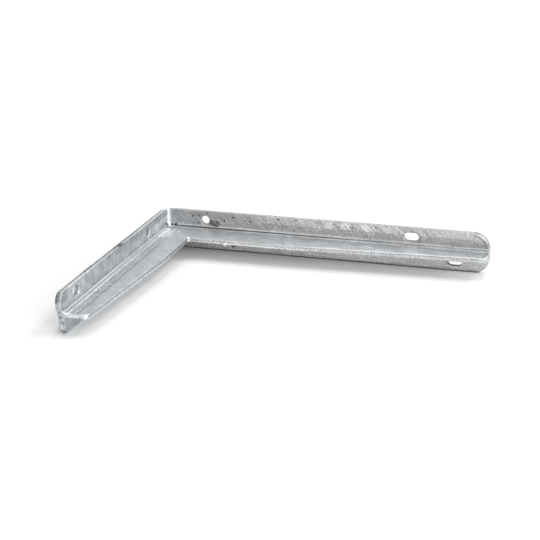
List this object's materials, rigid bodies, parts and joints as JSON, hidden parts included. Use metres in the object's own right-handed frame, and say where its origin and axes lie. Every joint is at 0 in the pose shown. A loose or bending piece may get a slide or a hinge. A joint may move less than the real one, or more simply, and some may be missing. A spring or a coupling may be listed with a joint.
{
  "type": "shelf bracket",
  "caption": "Right-angled shelf bracket bent from tee bar, with a tapering stiffening rib inside the angle and staggered screw holes and slots in both arms.",
  "frame": {"origin": "centre of the bounding box's footprint, on the surface that the flange's long edges lie on", "axes": "+X along the long arm towards its end, +Y out through the long arm's outer face, +Z across the flange; the short arm runs along -Y"},
  "size_m": [0.25, 0.2014, 0.03],
  "materials": {
    "galvanised_steel": "hot-dip galvanised zinc, dull grey with mottling, small pits and runs"
  },
  "bodies": {
    "root": {"bracket": "galvanised_steel"}
  },
  "joints": []
}
